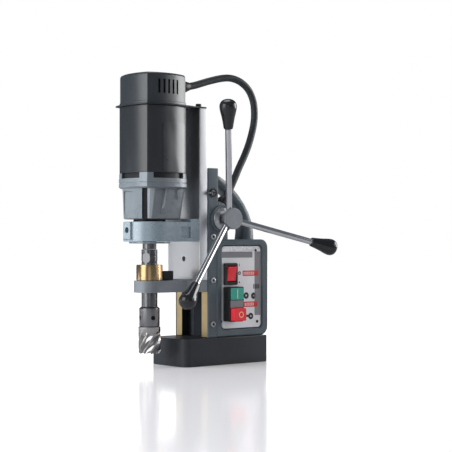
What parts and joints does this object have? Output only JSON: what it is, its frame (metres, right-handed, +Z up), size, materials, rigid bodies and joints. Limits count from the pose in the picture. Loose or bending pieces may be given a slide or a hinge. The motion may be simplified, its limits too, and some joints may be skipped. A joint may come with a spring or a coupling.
{
  "type": "magnetic drill press",
  "caption": "Portable magnetic-base core drill: magnet foot, cast frame with carrying handle and controls, rack-fed motor slide, annular cutter and three-spoke feed capstan.",
  "frame": {"origin": "centre of the magnet foot's lower face", "axes": "+X the operator's right, the capstan and control panel side; -Y the front, the spindle side; +Z up along the spindle axis"},
  "size_m": [0.1693, 0.3182, 0.4405],
  "materials": {
    "frame_paint": "semi-gloss slate paint on cast aluminium",
    "base_steel": "dark satin painted steel magnet body",
    "motor_plastic": "dark grey satin moulding",
    "gear_alloy": "die-cast aluminium, silver grey",
    "bracket_paint": "blue-grey painted casting",
    "aluminium": "bright machined",
    "steel": "ground steel",
    "black_steel": "black oxide",
    "chrome": "polished chrome plate",
    "brass": "machined",
    "cutter_steel": "bright ground tool steel",
    "knob_plastic": "glossy black phenolic",
    "black_plastic": "satin black",
    "label": "silver label plate",
    "red_plastic": "red translucent moulding",
    "green_plastic": "green moulding",
    "rubber": "black conduit rubber",
    "copper": "enamelled copper winding",
    "epoxy": "brown potting resin",
    "circuit": "green circuit board"
  },
  "bodies": {
    "frame": {"magnet_body": "base_steel", "magnet_coil": "copper", "magnet_seal": "epoxy", "frame_casting": "frame_paint", "control_panel": "label", "gib_left": "brass", "gib_right": "brass", "gib_screw_1": "steel", "gib_screw_2": "steel", "gib_screw_3": "steel", "gib_screw_4": "steel", "feed_bush_right": "steel", "feed_bush_left": "steel", "conduit_gland": "aluminium", "mains_gland": "rubber", "switch_bezel": "black_plastic", "motor_switch_box": "black_plastic", "control_board": "circuit", "conduit": "rubber"},
    "carriage": {"slide": "aluminium", "rack": "steel", "motor_bracket": "bracket_paint", "bracket_clamp_screw": "steel", "bearing_cap": "bracket_paint", "spindle_bearing": "steel", "support_plate": "bracket_paint", "coolant_ring": "brass", "coolant_elbow": "black_plastic", "gear_housing": "gear_alloy", "motor_housing": "motor_plastic", "stator": "steel", "brush_left": "brass", "brush_right": "brass", "top_plate": "steel", "plate_bolt_left": "black_steel", "plate_bolt_right": "black_steel", "motor_cap": "motor_plastic", "motor_gland": "black_plastic"},
    "spindle": {"spindle_shaft": "steel", "spindle_gear": "steel", "arbor": "steel", "arbor_screw_1": "black_steel", "arbor_screw_2": "black_steel", "annular_cutter": "cutter_steel"},
    "pilot": {"pilot_pin": "steel"},
    "armature_rotor": {"armature": "steel", "motor_fan": "black_plastic"},
    "layshaft_rotor": {"layshaft": "steel"},
    "capstan": {"feed_shaft": "chrome", "capstan_hub": "aluminium", "spoke_1": "chrome", "spoke_2": "chrome", "spoke_3": "chrome", "knob_1": "knob_plastic", "knob_2": "knob_plastic", "knob_3": "knob_plastic"},
    "rocker": {"magnet_rocker": "red_plastic"},
    "start": {"start_button": "green_plastic"},
    "stop": {"stop_button": "red_plastic"}
  },
  "joints": [
    {"name": "feed_slide", "type": "slide", "parent": "frame", "child": "carriage", "axis": [0, 0, 1], "range_m": [-0.056, 0.06], "deforming": ["conduit"]},
    {"name": "capstan_turn", "type": "hinge", "parent": "frame", "child": "capstan", "pos_m": [0, -0.0086, 0.219], "axis": [1, 0, 0], "range_deg": [-288, 269]},
    {"name": "spindle_spin", "type": "hinge", "parent": "carriage", "child": "spindle", "pos_m": [0, -0.1128, 0.1], "axis": [0, 0, 1], "continuous": true},
    {"name": "pilot_slide", "type": "slide", "parent": "spindle", "child": "pilot", "axis": [0, 0, 1], "range_m": [0, 0.012], "stiffness_N_per_m": 150, "springref_m": -0.004},
    {"name": "armature_spin", "type": "hinge", "parent": "carriage", "child": "armature_rotor", "pos_m": [0, -0.108, 0.3], "axis": [0, 0, 1], "continuous": true},
    {"name": "layshaft_spin", "type": "hinge", "parent": "carriage", "child": "layshaft_rotor", "pos_m": [0, -0.088, 0.25], "axis": [0, 0, 1], "continuous": true},
    {"name": "magnet_rocker_tilt", "type": "hinge", "parent": "frame", "child": "rocker", "pos_m": [0.0405, 0.00775, 0.136], "axis": [0, 1, 0], "range_deg": [-14, 0]},
    {"name": "start_press", "type": "slide", "parent": "frame", "child": "start", "axis": [-1, 0, 0], "range_m": [0, 0.003], "stiffness_N_per_m": 300, "springref_m": -0.001},
    {"name": "stop_press", "type": "slide", "parent": "frame", "child": "stop", "axis": [-1, 0, 0], "range_m": [0, 0.004], "stiffness_N_per_m": 300, "springref_m": -0.001}
  ],
  "couplings": [
    {"joint": "capstan_turn", "follows": "feed_slide", "rad_per_m": -83.333},
    {"joint": "layshaft_spin", "follows": "armature_spin", "ratio": -0.36},
    {"joint": "spindle_spin", "follows": "armature_spin", "ratio": 0.11077}
  ]
}
